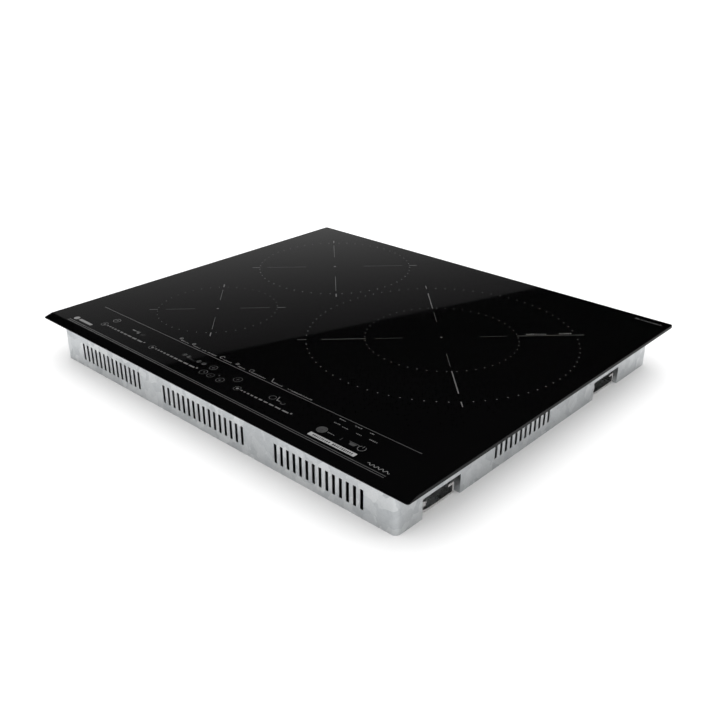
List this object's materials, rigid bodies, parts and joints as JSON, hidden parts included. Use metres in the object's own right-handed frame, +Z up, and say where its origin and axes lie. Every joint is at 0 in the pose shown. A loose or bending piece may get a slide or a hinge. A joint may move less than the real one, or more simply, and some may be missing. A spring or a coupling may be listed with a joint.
{
  "type": "induction hob",
  "caption": "Built-in induction hob: a bevelled black glass top with printed cooking zones and touch sliders over a slotted steel casing.",
  "frame": {"origin": "centre of the casing's underside", "axes": "+X to the user's right, +Y to the back, +Z up through the glass"},
  "size_m": [0.6, 0.51, 0.056],
  "materials": {
    "black_glass": "polished black glass-ceramic, opaque",
    "silicone": "cured silicone",
    "foam": "closed-cell foam",
    "zinc_steel": "galvanised steel sheet",
    "screw_steel": "zinc-plated",
    "plate_aluminium": "satin, blank",
    "black_plastic": "glass-filled, fine grain",
    "grey_plastic": "moulded, fine grain",
    "pale_plastic": "glass-filled, natural",
    "component_plastic": "potted film and can components",
    "brass": "nickel-free brass",
    "green_wire": "green and yellow insulation",
    "brown_wire": "brown insulation",
    "circuit_board": "solder-masked laminate",
    "aluminium": "mill finish",
    "copper": "enamelled copper",
    "motor_steel": "laminated electrical steel",
    "spring_steel": "spring wire",
    "ferrite": "sintered, matt",
    "mica": "pressed mica",
    "sensor_ceramic": "ceramic and silicone probe",
    "lead_sleeve": "braided sleeve",
    "ribbon_plastic": "flat flexible cable",
    "clamp_steel": "zinc-plated spring steel"
  },
  "bodies": {
    "casing": {"glass_top": "black_glass", "glass_adhesive": "silicone", "worktop_gasket": "foam", "support_frame": "zinc_steel", "bottom_tray": "zinc_steel", "tray_screws": "screw_steel", "rating_plate": "plate_aluminium", "terminal_box": "black_plastic", "terminal_cover": "black_plastic", "terminal_cover_screw": "screw_steel", "terminal_block": "pale_plastic", "terminal_screws": "brass", "cable_gland": "black_plastic", "earth_wire": "green_wire", "mains_leads": "brown_wire", "filter_board": "circuit_board", "filter_parts": "component_plastic", "supply_board": "circuit_board", "supply_parts": "component_plastic", "base_support": "grey_plastic", "left_power_board": "circuit_board", "right_power_board": "circuit_board", "left_heatsink": "aluminium", "right_heatsink": "aluminium", "transistors": "black_plastic", "board_capacitors": "component_plastic", "board_chokes": "copper", "board_connectors": "pale_plastic", "board_screws": "screw_steel", "air_duct": "grey_plastic", "fan_housing": "black_plastic", "fan_cover": "black_plastic", "fan_motor": "motor_steel", "carrier_springs": "spring_steel", "coil_leads": "lead_sleeve", "touch_holder": "black_plastic", "touch_board": "circuit_board", "touch_pads": "foam", "display_blocks": "black_plastic", "ribbon_cable": "ribbon_plastic", "clamps_hardware": "screw_steel"},
    "fan": {"fan_wheel": "black_plastic"},
    "left_coils": {"left_coil_carrier": "aluminium", "left_coil_formers": "pale_plastic", "rear_left_coil": "copper", "front_left_coil": "copper", "left_ferrites": "ferrite", "left_mica_sheets": "mica", "left_sensors": "sensor_ceramic"},
    "right_coils": {"right_coil_carrier": "aluminium", "right_coil_former": "pale_plastic", "right_inner_coil": "copper", "right_outer_coil": "copper", "right_ferrites": "ferrite", "right_mica_sheet": "mica", "right_sensor": "sensor_ceramic"},
    "clamp_front_left": {"clamp_front_left": "clamp_steel"},
    "clamp_front_right": {"clamp_front_right": "clamp_steel"},
    "clamp_back_left": {"clamp_back_left": "clamp_steel"},
    "clamp_back_right": {"clamp_back_right": "clamp_steel"}
  },
  "joints": [
    {"name": "fan_spin", "type": "hinge", "parent": "casing", "child": "fan", "pos_m": [-0.01, 0.14, 0.015], "axis": [0, 0, 1], "continuous": true},
    {"name": "left_coils_press", "type": "slide", "parent": "casing", "child": "left_coils", "axis": [0, 0, 1], "range_m": [-0.002, 0], "stiffness_N_per_m": 9000, "springref_m": 0.0045, "deforming": ["carrier_springs", "coil_leads"]},
    {"name": "right_coils_press", "type": "slide", "parent": "casing", "child": "right_coils", "axis": [0, 0, 1], "range_m": [-0.002, 0], "stiffness_N_per_m": 9000, "springref_m": 0.0045, "deforming": ["carrier_springs", "coil_leads"]},
    {"name": "clamp_front_left_swing", "type": "hinge", "parent": "casing", "child": "clamp_front_left", "pos_m": [-0.268, -0.195, 0.005], "axis": [0, 0, 1], "range_deg": [0, 90]},
    {"name": "clamp_front_right_swing", "type": "hinge", "parent": "casing", "child": "clamp_front_right", "pos_m": [0.268, -0.195, 0.005], "axis": [0, 0, -1], "range_deg": [0, 90]},
    {"name": "clamp_back_left_swing", "type": "hinge", "parent": "casing", "child": "clamp_back_left", "pos_m": [-0.268, 0.12, 0.005], "axis": [0, 0, 1], "range_deg": [0, 90]},
    {"name": "clamp_back_right_swing", "type": "hinge", "parent": "casing", "child": "clamp_back_right", "pos_m": [0.268, 0.12, 0.005], "axis": [0, 0, -1], "range_deg": [0, 90]}
  ]
}
